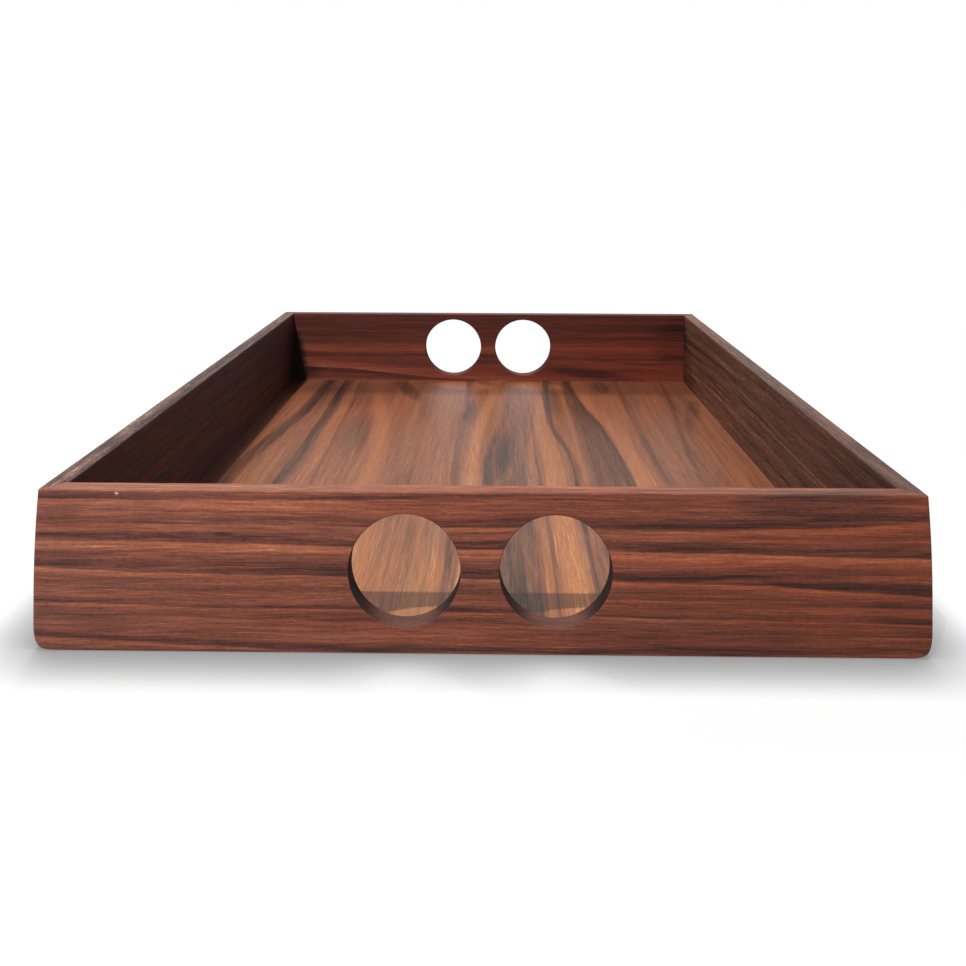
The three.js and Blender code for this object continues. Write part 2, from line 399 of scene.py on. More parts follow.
def evaluated_mesh(obj):
    """The object's mesh with its modifiers worked out."""
    bpy.context.view_layer.update()
    depsgraph = bpy.context.evaluated_depsgraph_get()
    return bpy.data.meshes.new_from_object(obj.evaluated_get(depsgraph), depsgraph=depsgraph)


def make_board(tree, name, wood, **changes):
    """One board of the frame, as a plain mesh at its place."""
    obj = bpy.data.objects.new(name, bpy.data.meshes.new(name))
    bpy.context.scene.collection.objects.link(obj)
    shape = obj.modifiers.new("mitred board", "NODES")
    shape.node_group = tree
    values = dict(BOARD_SIZES, Wood=wood, **changes)
    for input_name, value in values.items():
        shape[socket_named(tree, input_name)] = value
    even = obj.modifiers.new("even shading", "WEIGHTED_NORMAL")
    even.keep_sharp = True
    mesh = evaluated_mesh(obj)
    obj.modifiers.clear()
    obj.data = mesh
    mesh.name = name
    return obj


def linear(*srgb):
    """A colour as it is seen, in 0 to 255, as the linear light that a shader takes."""
    return tuple(((part / 255 + 0.055) / 1.055) ** 2.4 if part > 10 else part / 3295 for part in srgb)


def new_material(name):
    """An empty material, and the graph that fills it."""
    mat = bpy.data.materials.new(name)
    mat.use_nodes = True
    mat.node_tree.nodes.clear()
    return mat, Graph(mat.node_tree)


def show(mat, graph, shader):
    """Makes the shader the material's surface."""
    output = mat.node_tree.nodes.new("ShaderNodeOutputMaterial")
    graph.feed(output.inputs["Surface"], shader)


# Walnut from its darkest late wood to its palest early wood, and its greyer kind.
WALNUT = [
    linear(44, 27, 25),
    linear(86, 51, 42),
    linear(122, 72, 56),
    linear(160, 98, 70),
    linear(214, 146, 100),
]
GREY_WALNUT = [
    linear(38, 28, 27),
    linear(76, 54, 48),
    linear(110, 81, 70),
    linear(146, 110, 92),
    linear(190, 150, 124),
]
RED_TINT = (1.1, 0.93, 0.86)
RED_SHARE = 0.5
GREY_BY_PLACE = 0.3
GREY_BY_FIGURE = 2.0
GREYEST = 0.9

# The layers of the wood: how far each runs along the grain, across it and into the board, in millimetres,
# then how finely it is broken up and, where that isn't a half, how roughly.
SLOW_WAVE = ((75.0, 30.0, 40.0), 1.0)
QUICK_WAVE = ((19.0, 4.0, 8.0), 2.0)
BANDS = ((320.0, 7.0, 20.0), 2.0)
LATE_WOOD = ((95.0, 2.4, 4.0), 5.0, 0.68)
FIBRES = ((18.0, 0.55, 0.8), 3.0, 0.68)
PORES = ((3.6, 0.3, 0.3), 0.0)
MOTTLE = ((2.2, 1.1, 1.1), 2.0)
WARMTH = ((110.0, 9.0, 20.0), 2.0)

# How far the waves swing, in millimetres, and how much each layer lightens or darkens the wood.
SLOW_SWING = 3.0
QUICK_SWING = 1.1
BAND_STRENGTH = 0.45
LATE_WOOD_STRENGTH = 0.95
FIBRE_STRENGTH = 0.85
PORE_STRENGTH = 0.16
FIGURE_BREAK = 1.6

# Between which levels of its noise a pore begins, and the wood turns grey or stops being red.
PORE_RANGE = (0.66, 0.78)
GREY_RANGE = (0.5, 0.72)
RED_RANGE = (0.25, 0.5)

# The oiled surface: its gloss, how much rougher or smoother than its average it gets, between which levels
# of the fibres that is, and the relief of the grain as a bump, by strength and height.
OIL_GLOSS = 0.22
ROUGHER = 0.07
SMOOTHER = 0.05
SHEEN_RANGE = (-0.2, 0.25)
PLANED = (0.35, 0.06 * MM)

# How far a face must turn to count as the outer side, and how far below its top the rim has its full colour.
OUTWARD_RANGE = (0.3, 0.8)
RIM_DEPTH = 0.2

# The cutter's rubbing in the bores: how far past a bore it starts to fade and is gone, in millimetres, its
# colours, its marks as a layer, how much it covers and roughens, and where it cuts end grain and how dark;
# that darkness is end grain's own and also painted shade in the bores' flanks.
RUB_FADES = 0.05
RUB_GONE = 0.3
RUBBED_DARK = linear(52, 36, 33)
RUBBED_PALE = linear(110, 80, 72)
RUBBING = ((1.2, 1.6, 1.2), 3.0, 0.7)
RUB_SHARE = 0.8
RUB_ROUGHNESS = 0.4
END_GRAIN_RANGE = (0.3, 0.85)
END_GRAIN_AND_SHADE_TINT = (0.10, 0.07, 0.07)

# A streak's line is given at this many even stations along the piece, within this span about zero.
LINE_STATIONS = 7
LINE_SPAN = 400.0


class Streak(NamedTuple):
    """A band of darker wood, sharp on its line and fading out to one side. Lengths in millimetres.

    Width, dark and fringe are given for both ends of the piece. The fringe is the paler wood on the line's
    other side. Level is the share of the width that is fully dark, and edge how soft the line is.
    """

    line: tuple
    width: tuple
    dark: tuple
    fringe: tuple = (0.0, 0.0)
    fringe_width: float = 4.0
    level: float = 0.1
    side: int = 1
    grey: float = 0.2
    edge: float = 0.5


class Patch(NamedTuple):
    """A soft spot of darker wood, long with the grain, or of painted shade. Lengths in millimetres.

    Slope is how far it moves across the grain for each millimetre along it, and soft the share that fades.
    """

    along: float
    across: float
    length: float
    width: float
    dark: float
    slope: float = 0.0
    grey: float = 0.2
    soft: float = 1.0


class Wood(NamedTuple):
    """How the wood of one piece lies.

    An axis is (its number, its direction, where it starts in metres). Tints and contrast are given for both
    ends of the piece; on the left, right and back boards the tint also paints shade on the inner side. Lean
    is the slant of the figure through the board, and wave and fuzz are how strongly it waves and mottles.
    Rim and outside are the colours of a board's rim and outer side, where they differ. A rim tint paints how
    the light falls on the top, and on the left board lifts it back out of the inner side's painted shade.
    """

    along: tuple
    across: tuple
    depth: tuple
    length: float
    streaks: tuple
    patches: tuple
    tone: float = 0.5
    tints_and_shade: tuple = ((1.0, 1.0, 1.0), (1.0, 1.0, 1.0))
    lean: float = 0.35
    wave: float = 1.0
    contrast: tuple = (1.0, 1.0)
    fuzz: float = 0.0
    roughness: float = 0.48
    rim: tuple = ()
    outside: tuple = ()
    hole_radius: float = 0.0
    hole_height: float = 0.0


class Place(NamedTuple):
    """Where a point lies in its piece: in millimetres, and as a share of the piece's length."""

    along: Term
    height: Term
    depth: Term
    across: Term
    share: Term


def measured(position, axis):
    """The distance in millimetres from where an axis starts."""
    number, direction, start = axis
    return (position[number] - start) * (direction / MM)


def place_in(graph, wood, position):
    """A point's place. Across the grain, it follows the figure's slant through the board and its waves."""
    along = measured(position, wood.along)
    height = measured(position, wood.across)
    depth = measured(position, wood.depth)
    slow = graph.layer((along, height, depth), *SLOW_WAVE) - 0.5
    quick = graph.layer((along, height, depth), *QUICK_WAVE) - 0.5
    waves = slow * (SLOW_SWING * wood.wave) + quick * (QUICK_SWING * wood.wave)
    across = height + depth * wood.lean + waves
    return Place(along, height, depth, across, along / (wood.length / MM))


def streak_line(graph, share, line):
    """The place of a streak's line across the grain, in millimetres, at a share of the piece's length."""
    curve = graph.node("ShaderNodeFloatCurve", 1.0, share)
    mapping = curve.socket.node.mapping
    points = mapping.curves[0].points
    while len(points) < LINE_STATIONS:
        points.new(0.5, 0.5)
    for number, (point, across) in enumerate(zip(points, line)):
        point.location = (number / (LINE_STATIONS - 1), across / LINE_SPAN + 0.5)
    mapping.update()
    return (curve - 0.5) * LINE_SPAN


def streak_tone(graph, place, streak):
    """How much one streak darkens the wood, less how much its fringe brightens it."""
    distance = (place.across - streak_line(graph, place.share, streak.line)) * float(streak.side)
    width = graph.between(place.share, *streak.width)
    inside = graph.step(distance, -streak.edge, streak.edge)
    body = 1.0 - graph.step(distance, width * streak.level, width)
    dark = inside * body * graph.between(place.share, *streak.dark)
    if not any(streak.fringe):
        return dark
    beside = (1.0 - inside) * graph.step(distance, -streak.fringe_width, 0.0)
    return dark - beside * graph.between(place.share, *streak.fringe)


def patch_tone(graph, place, patch):
    """How much one soft spot darkens the wood."""
    past = place.along - patch.along
    reach = past / patch.length
    offset = (place.across - patch.across - past * patch.slope) / patch.width
    distance = reach * reach + offset * offset
    return graph.step(distance, 1.0 - patch.soft, 1.0, patch.dark, 0.0)


def figure(graph, wood, place, facing_out):
    """How dark and how grey a piece's streaks and soft spots make it, some spots being painted shade."""
    # Where a board's outer side has its own colour, the soft spots, painted shade among them, lie on its
    # inner side only.
    spotted = 1.0 - facing_out if wood.outside else 1.0
    tones = [(streak_tone(graph, place, streak), streak.grey) for streak in wood.streaks]
    tones += [(patch_tone(graph, place, patch) * spotted, patch.grey) for patch in wood.patches]
    dark = sum((tone for tone, _ in tones), 0.0)
    grey = sum((tone * amount for tone, amount in tones if amount), 0.0)
    return dark, grey


def bored(graph, wood, place, position, normal, colour, rough):
    """The bores' colour and roughness: rubbed dark by the cutter, and darkest, partly as painted shade, at
    end grain.
    """
    from_middle = graph.size_of(position[0]) / MM - HOLE_SPACING / MM / 2
    from_axis = position[2] / MM - wood.hole_height / MM
    radius = graph.math("SQRT", from_middle * from_middle + from_axis * from_axis)
    bore_radius = wood.hole_radius / MM
    bore = 1.0 - graph.step(radius, bore_radius + RUB_FADES, bore_radius + RUB_GONE)
    rubbing = graph.layer((place.along, place.depth, place.height), *RUBBING)
    colour = graph.blend(bore * RUB_SHARE, colour, graph.blend(rubbing, RUBBED_DARK, RUBBED_PALE))
    # End grain is darker of its own, and this tint also paints the shade in the bores' flanks.
    end_grain_and_shade = graph.step(graph.size_of(normal[wood.along[0]]), *END_GRAIN_RANGE) * bore
    return graph.tinted(colour, END_GRAIN_AND_SHADE_TINT, end_grain_and_shade), rough + bore * RUB_ROUGHNESS


def finish_wood(mat, graph, colour, rough, relief, bump, gloss):
    """The surface of a wood, with its relief as a fine bump."""
    strength, height = bump
    normal = graph.node("ShaderNodeBump", strength, height, named={"Height": relief})
    show(mat, graph, graph.node("ShaderNodeBsdfPrincipled", named={
        "Base Color": colour, "Roughness": rough, "Normal": normal, "Specular IOR Level": gloss}))


def walnut(name, wood):
    """Oiled walnut, figured by its streaks and spots, with fibres, pores, and dark bores; some of that
    darkness is painted shade.
    """
    mat, graph = new_material(name)
    position = graph.split(graph.node("ShaderNodeTexCoord").output("Object"))
    normal = graph.split(graph.node("ShaderNodeNewGeometry").output("Normal"))
    facing_out = graph.step(normal[wood.depth[0]] * float(-wood.depth[1]), *OUTWARD_RANGE)
    place = place_in(graph, wood, position)

    # Fine structure: broad bands, lines of late wood, fibres, and pores that end as short dark dashes.
    ways = (place.along, place.across, place.depth)
    bands = graph.layer(ways, *BANDS) - 0.5
    late_wood = graph.layer(ways, *LATE_WOOD) - 0.5
    fibres = graph.layer(ways, *FIBRES) - 0.5
    pores = graph.step(graph.layer(ways, *PORES), *PORE_RANGE)
    mottle = (graph.layer(ways, *MOTTLE) - 0.5) * wood.fuzz
    fine = bands * BAND_STRENGTH + late_wood * LATE_WOOD_STRENGTH + fibres * FIBRE_STRENGTH
    fine = fine - pores * PORE_STRENGTH + mottle

    dark, grey = figure(graph, wood, place, facing_out)
    contrast = graph.between(place.share, *wood.contrast)
    if wood.outside:
        contrast = graph.between(facing_out, contrast, 1.0)
    tone = wood.tone - dark * (1.0 - late_wood * FIGURE_BREAK) + fine * contrast

    # The colour: greyer in the streaks and in places besides, redder elsewhere, and tinted, partly as
    # painted shade.
    warm = graph.layer(ways, *WARMTH)
    grey_share = graph.step(warm, *GREY_RANGE, 0.0, GREY_BY_PLACE)
    grey_share = grey_share + graph.maximum(grey, 0.0) * GREY_BY_FIGURE
    brown = graph.colours(tone, WALNUT)
    colour = graph.blend(graph.minimum(grey_share, GREYEST), brown, graph.colours(tone, GREY_WALNUT))
    colour = graph.tinted(colour, RED_TINT, graph.step(warm, *RED_RANGE, 1.0, 0.0) * RED_SHARE)
    # On the left, right and back boards this tint paints shade on the inner side; the outer side keeps its
    # own.
    tint = graph.blend(place.share, *wood.tints_and_shade)
    if wood.outside:
        tint = graph.blend(facing_out, tint, wood.outside)
    colour = graph.tinted(colour, tint)
    # A rim tint paints how the light falls on the top; on the left board it lifts the lit top out of the
    # painted shade.
    if wood.rim:
        on_rim = graph.step(place.height, (TRAY_HEIGHT - RIM_ROUND) / MM, TRAY_HEIGHT / MM - RIM_DEPTH)
        colour = graph.tinted(colour, wood.rim, on_rim)

    rough = graph.step(fibres, *SHEEN_RANGE, wood.roughness + ROUGHER, wood.roughness - SMOOTHER)
    if wood.hole_radius:
        colour, rough = bored(graph, wood, place, position, normal, colour, rough)
    relief = (fibres + late_wood) * 0.5 - pores
    finish_wood(mat, graph, colour, rough, relief, PLANED, OIL_GLOSS)
    return mat


# The axes of the pieces, and the middle of a short board in millimetres from its left end.
ACROSS_WALL = (2, 1, 0.0)
FROM_LEFT = (0, 1, -TRAY_WIDTH / 2)
FROM_FRONT = (1, 1, -TRAY_LENGTH / 2)
FROM_RIGHT = (0, -1, TRAY_WIDTH / 2)
FROM_BACK = (1, -1, TRAY_LENGTH / 2)
MIDDLE = TRAY_WIDTH / 2 / MM

# The outer sides are all of one colour, without the painted shade of a board's inner side.
OUTER_TINT = (1.03, 0.88, 0.84)

FRONT_WOOD = Wood(
    along=FROM_LEFT, across=ACROSS_WALL, depth=FROM_FRONT, length=TRAY_WIDTH,
    tints_and_shade=((1.15, 1.10, 1.16), (0.94, 0.66, 0.52)), contrast=(1.0, 1.0), fuzz=0.24, rim=(1.02, 1.16, 1.1),
    hole_radius=FRONT_HOLE_RADIUS, hole_height=FRONT_HOLE_HEIGHT,
    streaks=(
        Streak((60.9, 60.4, 61.0, 62.5, 63.3, 63.2, 63.2), (4.0, 2.0), (0.24, 0.10), (0.20, 0.0), 6.5),
        Streak(
            (51.2, 50.8, 50.8, 50.9, 49.6, 51.0, 53.8), (5.0, 6.5), (0.13, 0.23), (0.12, 0.14),
            level=0.35),
        Streak(
            (44.7, 43.5, 42.8, 42.3, 41.8, 40.4, 39.0), (5.4, 5.5), (0.18, 0.32), (0.16, 0.22), 7.0,
            level=0.35),
        Streak(
            (33.6, 31.6, 30.8, 30.4, 29.6, 28.2, 24.4), (8.0, 7.0), (0.20, 0.34), (0.22, 0.18), 3.5,
            level=0.2),
        Streak((25.5, 24.6, 24.2, 23.9, 23.0, 21.2, 20.0), (3.0, 3.5), (0.06, 0.17), (0.04, 0.08), 3.0),
        Streak((20.2, 18.3, 17.6, 16.6, 15.6, 14.6, 13.6), (3.0, 4.0), (0.20, 0.20), (0.12, 0.10), 2.0),
        Streak(
            (14.4, 13.6, 13.0, 12.4, 10.4, 9.2, 8.4), (2.0, 3.0), (0.09, 0.18), (0.05, 0.08), 2.0,
            level=0.3),
        Streak(
            (5.7, 3.2, 1.4, 1.2, 1.2, 1.2, 2.4), (3.5, 4.0), (0.22, 0.16), (0.14, 0.08), 3.0,
            level=0.3),
        Streak((66.4, 66.2, 66.1, 66.0, 66.2, 66.4, 66.5), (1.2, 1.2), (-0.18, -0.18), edge=0.3),
    ),
    patches=(
        Patch(MIDDLE - 102, 46.6, 5.0, 1.1, 0.34, grey=0.4),
        Patch(MIDDLE + 135, 60.5, 44.0, 7.5, 0.26, grey=0.4),
        Patch(MIDDLE - 85, 59.5, 55.0, 4.0, -0.12),
        Patch(MIDDLE - 90, 41.0, 48.0, 2.6, -0.12),
        Patch(MIDDLE - 172, 11.0, 44.0, 13.0, 0.07),
        Patch(MIDDLE + 110, 5.0, 90.0, 5.5, 0.12),
        Patch(MIDDLE + 172, 20.0, 24.0, 12.0, 0.12),
        Patch(MIDDLE - 145, 62.7, 0.9, 0.7, -0.9, grey=-1.0, soft=0.6),
    ),
)

# The back board's inner side is darkened by its tint as painted shade.
BACK_WOOD = Wood(
    along=FROM_LEFT, across=ACROSS_WALL, depth=FROM_BACK, length=TRAY_WIDTH,
    hole_radius=BACK_HOLE_RADIUS, hole_height=BACK_HOLE_HEIGHT,
    tints_and_shade=((0.78, 0.60, 0.64), (0.71, 0.42, 0.42)), lean=0.3, contrast=(0.7, 0.7), fuzz=0.1,
    outside=OUTER_TINT,
    streaks=(
        Streak((43, 43, 43, 43, 44, 45, 45), (40, 40), (0.16, 0.14), level=0.9, edge=3.0),
        Streak((58.0, 58.0, 57.5, 57.0, 54.5, 53.5, 52.5), (3.5, 4.5), (0.04, 0.10), (0.0, 0.05)),
        Streak((48.0, 47.6, 46.8, 46.2, 45.6, 45.0, 44.0), (2.5, 2.5), (0.06, 0.06), (0.05, 0.05)),
        Streak(
            (35.6, 35.4, 34.8, 34.2, 34.0, 33.0, 32.0), (7.5, 8.0), (-0.20, -0.05),
            level=0.4, edge=1.2),
        Streak(
            (30.6, 30.2, 29.6, 29.0, 28.5, 24.5, 18.0), (5.2, 3.0), (0.26, 0.04), (0.06, 0.06),
            level=0.5),
        Streak(
            (22.4, 19.6, 14.0, 10.0, 8.0, 6.0, 5.0), (6.0, 4.0), (0.18, 0.10), (0.32, 0.12), 11.0,
            side=-1),
    ),
    patches=(
        Patch(MIDDLE + 86, 16.8, 52.0, 6.0, 0.28, slope=-0.15),
        Patch(MIDDLE, 26.0, 18.0, 3.2, 0.18),
        Patch(MIDDLE + 162, 52.0, 30.0, 9.0, 0.16),
        Patch(MIDDLE + 160, 34.0, 24.0, 12.0, 0.12),
        # The last three spots are painted shade: the left board's shadow in the back-left corner.
        Patch(MIDDLE - 166, 18.0, 28.0, 11.0, 0.30),
        Patch(MIDDLE - 172, 34.0, 16.0, 22.0, 0.24),
        Patch(MIDDLE - 171, 14.0, 17.0, 44.0, 0.50, grey=0.6, soft=0.5),
    ),
)

# The left board's inner side stands in shade, painted by its dark tint, darker towards the back.
LEFT_WOOD = Wood(
    along=FROM_FRONT, across=ACROSS_WALL, depth=FROM_LEFT, length=TRAY_LENGTH,
    tints_and_shade=((0.28, 0.19, 0.26), (0.22, 0.15, 0.22)), lean=-0.3, contrast=(2.1, 1.5), fuzz=0.4,
    roughness=0.6, rim=(1.95, 4.6, 4.7), outside=OUTER_TINT,
    streaks=(
        Streak((57.5, 56.5, 55.0, 53.5, 52.0, 50.0, 48.0), (4.0, 4.0), (0.18, 0.18), (0.10, 0.10)),
        Streak((47.0, 46.0, 44.5, 42.0, 39.5, 37.0, 34.0), (4.0, 4.0), (0.20, 0.22), (0.10, 0.10)),
        Streak((37.0, 37.0, 36.5, 34.0, 31.0, 27.0, 22.0), (4.0, 4.5), (0.22, 0.24), (0.11, 0.11)),
        Streak((27.0, 26.5, 25.0, 22.5, 19.0, 15.0, 10.0), (3.0, 4.0), (0.19, 0.20), (0.10, 0.10)),
        Streak((16.0, 15.0, 14.0, 11.0, 8.0, 4.0, 1.0), (3.0, 3.0), (0.18, 0.18), (0.09, 0.09)),
    ),
    patches=(
        Patch(330.0, 45.0, 30.0, 2.0, 0.15),
        # These two spots are painted shade at the back-left corner.
        Patch(452.0, 24.0, 60.0, 30.0, 0.30),
        Patch(449.0, 10.0, 26.0, 26.0, 0.60, grey=1.0),
    ),
)

# The right board's inner side is darkened and greyed by its tint as painted shade.
RIGHT_WOOD = Wood(
    along=FROM_FRONT, across=ACROSS_WALL, depth=FROM_RIGHT, length=TRAY_LENGTH,
    tints_and_shade=((0.41, 0.49, 0.56), (0.48, 0.57, 0.60)), lean=-0.25, contrast=(1.4, 1.35), fuzz=0.6,
    rim=(1.0, 0.9, 0.8), outside=OUTER_TINT,
    streaks=(
        Streak((58.0, 57.0, 56.0, 54.5, 53.0, 51.0, 50.0), (3.5, 3.5), (0.16, 0.18), (0.08, 0.08)),
        Streak((48.0, 47.5, 46.5, 45.0, 44.5, 42.0, 39.0), (4.5, 4.5), (0.18, 0.18), (0.10, 0.10)),
        Streak((33.0, 33.5, 34.5, 35.5, 37.0, 35.0, 31.0), (4.0, 4.0), (0.20, 0.21), (0.10, 0.10)),
        Streak((22.0, 22.5, 24.0, 25.0, 24.0, 21.0, 18.0), (3.5, 3.5), (0.17, 0.18), (0.10, 0.10)),
        Streak((12.0, 12.5, 13.5, 14.0, 13.0, 10.0, 7.0), (3.0, 3.0), (0.15, 0.15), (0.08, 0.08)),
    ),
    patches=(
        Patch(252.0, 38.0, 18.0, 2.4, 0.20),
        Patch(452.0, 24.0, 18.0, 60.0, 0.24),
        Patch(300.0, 40.0, 120.0, 40.0, -0.05),
        Patch(15.0, 50.0, 80.0, 44.0, 0.09),
    ),
)

# The floor panel's two broadest dark streaks, each laid as a wide soft one under a narrow one.
MIDDLE_STREAK = (-2.0, -2.0, -1.8, -0.6, 8.0, 15, 20)
RIGHT_STREAK = (86.5, 87, 87.8, 86.8, 82.0, 73, 70)

FLOOR_WOOD = Wood(
    along=FROM_FRONT, across=(0, 1, 0.0), depth=(2, 1, 0.0), length=TRAY_LENGTH,
    tone=0.535, tints_and_shade=((1.02, 1.10, 0.82), (0.92, 0.92, 0.76)), lean=0.0, wave=0.9,
    contrast=(0.8, 0.28), fuzz=0.16, roughness=0.38,
    streaks=(
        Streak(
            (-157, -157, -157, -155, -147, -140, -139), (11.5, 11.0), (0.34, 0.28),
            level=0.6, edge=2.5),
        Streak(
            (-125, -125, -125, -124, -123, -123, -122), (11.0, 10.0), (0.41, 0.30),
            level=0.4, edge=1.2),
        Streak(
            (-113, -113, -113, -112, -112, -113, -113), (10.0, 9.0), (-0.06, -0.06),
            level=0.5, edge=2.0),
        Streak((-103, -103, -103.2, -103.6, -105, -107, -110), (3.5, 3.5), (0.18, 0.16), edge=1.0),
        Streak((-76, -76, -76, -77, -82, -92, -102), (20.0, 17.0), (-0.12, -0.12), level=0.4, edge=5.0),
        Streak(
            (-17.8, -17.8, -18.8, -20.3, -20.5, -19, -18), (3.5, 8.0), (0.24, 0.18),
            level=0.4, edge=0.9),
        Streak(
            (-12.0, -12.0, -12.0, -11.2, -8.5, -1.0, 4.0), (7.5, 10.0), (-0.24, -0.14),
            level=0.6, edge=2.0),
        Streak(MIDDLE_STREAK, (32, 24), (0.31, 0.03), level=0.85, grey=0.35, edge=1.8),
        Streak(MIDDLE_STREAK, (6, 6), (0.14, 0.06), level=0.3, edge=1.5),
        Streak((29, 29, 28, 26, 29, 32, 34), (4.0, 3.0), (-0.12, 0.0), level=0.6),
        Streak((33.0, 32.8, 32.2, 31.8, 31.6, 31.6, 31.6), (2.6, 2.0), (0.24, 0.0)),
        Streak((36.4, 36.4, 36, 36.5, 34, 31, 29), (14.0, 12.0), (-0.24, -0.06), level=0.8, edge=1.5),
        Streak((50, 50.3, 51.4, 53.0, 44.2, 43.8, 47), (2.2, 8.2), (0.23, 0.30), level=0.45, edge=0.7),
        Streak((56.5, 57, 58, 58.7, 58.7, 59, 61), (4.5, 4.0), (-0.08, -0.08), level=0.6, edge=1.0),
        Streak(RIGHT_STREAK, (44, 8), (0.23, 0.25), level=0.7, side=-1, grey=0.25, edge=1.3),
        Streak(RIGHT_STREAK, (8, 6), (0.10, 0.12), level=0.2, side=-1, grey=0.3, edge=1.3),
        Streak((88, 88.5, 89.0, 88.2, 83.5, 75, 72), (18, 12), (-0.20, -0.05), level=0.3, edge=1.5),
        Streak(
            (104.5, 104.5, 104.8, 105, 105.2, 105.5, 106.5), (8.5, 6.0), (0.22, 0.12),
            level=0.3, edge=1.0),
        Streak((126, 126, 126.6, 128.5, 135, 142, 147), (6.0, 5.0), (0.22, 0.13), level=0.3, edge=1.4),
        Streak((108, 108, 108, 108, 108, 108, 108), (90, 90), (0.05, 0.07), level=0.9, edge=8.0),
    ),
    patches=(
        Patch(285.0, -86.0, 62.0, 6.0, 0.09, slope=-0.09, grey=0.5),
        Patch(285.0, -91.0, 76.0, 14.0, 0.09, grey=0.6),
        Patch(415.0, -66.0, 50.0, 10.0, 0.26, slope=-0.31),
        Patch(400.0, -100.0, 62.0, 36.0, 0.16),
        Patch(360.0, -45.0, 60.0, 9.0, 0.10, grey=0.5),
        Patch(165.0, -49.0, 55.0, 10.0, 0.12),
        Patch(345.0, -13.0, 46.0, 6.0, 0.20, grey=0.3),
        Patch(245.0, 12.5, 66.0, 8.0, 0.22, slope=0.08, grey=0.3),
        Patch(45.0, -30.0, 60.0, 26.0, -0.11),
        Patch(90.0, 35.5, 34.0, 0.6, -0.24),
        Patch(65.0, -58.0, 75.0, 13.0, -0.16),
        Patch(65.0, 53.0, 50.0, 7.0, -0.09),
        Patch(70.0, -13.0, 50.0, 3.0, 0.26),
        Patch(385.0, 51.0, 75.0, 9.0, 0.16, grey=0.3),
        Patch(425.0, 94.0, 30.0, 10.0, 0.22),
        Patch(342.0, 154.0, 60.0, 8.0, 0.16, slope=0.25),
        Patch(375.0, 150.0, 45.0, 16.0, 0.10),
        Patch(380.0, 112.0, 34.0, 11.0, 0.08, grey=0.8),
        # These two spots are painted shade along the left board at the back and in the back-left corner.
        Patch(400.0, -132.0, 90.0, 16.0, 0.12),
        Patch(445.0, -164.0, 55.0, 12.0, 0.30),
    ),
)


# The splines' wood, from its darkest to its palest, its grain as a layer in metres, and its finish.
SPLINE_WOOD = [linear(150, 112, 74), linear(192, 154, 112), linear(214, 182, 142)]
SPLINE_GRAIN = ((0.6 * MM, 0.6 * MM, 30 * MM), 3.0, 0.6)
SPLINE_RANGE = (0.3, 0.7)
SPLINE_ROUGHNESS = 0.7
SPLINE_RELIEF = (0.3, 0.05 * MM)
SPLINE_GLOSS = 0.3


def bare_wood(name):
    """The splines' pale straight-grained wood, left bare inside the mitres."""
    mat, graph = new_material(name)
    position = graph.split(graph.node("ShaderNodeTexCoord").output("Object"))
    grain = graph.layer(position, *SPLINE_GRAIN)
    colour = graph.colours(graph.step(grain, *SPLINE_RANGE, kind="LINEAR"), SPLINE_WOOD)
    finish_wood(mat, graph, colour, SPLINE_ROUGHNESS, grain, SPLINE_RELIEF, SPLINE_GLOSS)
    return mat


def make_boards():
    """The four boards of the frame, each with its own wood."""
    tree = mitred_board_tree()
    quarter = math.pi / 2
    across = {"Length": TRAY_WIDTH, "Reach": TRAY_LENGTH / 2, "Finger Holes": True}
    lengthwise = {"Length": TRAY_LENGTH, "Reach": TRAY_WIDTH / 2, "Finger Holes": False}
    back_holes = {"Hole Radius": BACK_HOLE_RADIUS, "Hole Height": BACK_HOLE_HEIGHT}
    sides = {
        "front": (FRONT_WOOD, across, {"Turn": 0.0}),
        "right": (RIGHT_WOOD, lengthwise, {"Turn": quarter}),
        "back": (BACK_WOOD, across, {"Turn": 2 * quarter, **back_holes}),
        "left": (LEFT_WOOD, lengthwise, {"Turn": -quarter}),
    }
    for side, (wood, sizes, changes) in sides.items():
        obj = make_board(tree, f"{side}_wall", walnut(f"walnut, {side} wall", wood), **sizes, **changes)
        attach(obj, "root")
        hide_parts(f"{side}_board")


def finish_inner_pieces():
    """The floor panel and the splines keep their shape and get their wood."""
    woods = {"floor_panel": walnut("walnut, floor", FLOOR_WOOD)}
    spline_wood = bare_wood("bare spline wood")
    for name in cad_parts:
        if name.startswith("spline_"):
            woods[name] = spline_wood
    for name, mat in woods.items():
        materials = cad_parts[name].data.materials
        materials.clear()
        materials.append(mat)


# The camera, fitted to the photograph's perspective: level, a little right of the middle.
PHOTO_SIDE = 966
SENSOR = 36.0
FOCAL_PX = 959.42
CENTRE_PX = (481.13, 162.40)
CAMERA_X = 5.363 * MM
CAMERA_BACK = 378.97 * MM
CAMERA_HEIGHT = 194.84 * MM
CAMERA_YAW = -0.0143
CAMERA_ROLL = 0.0029
CAMERA_NEAR = 10 * MM


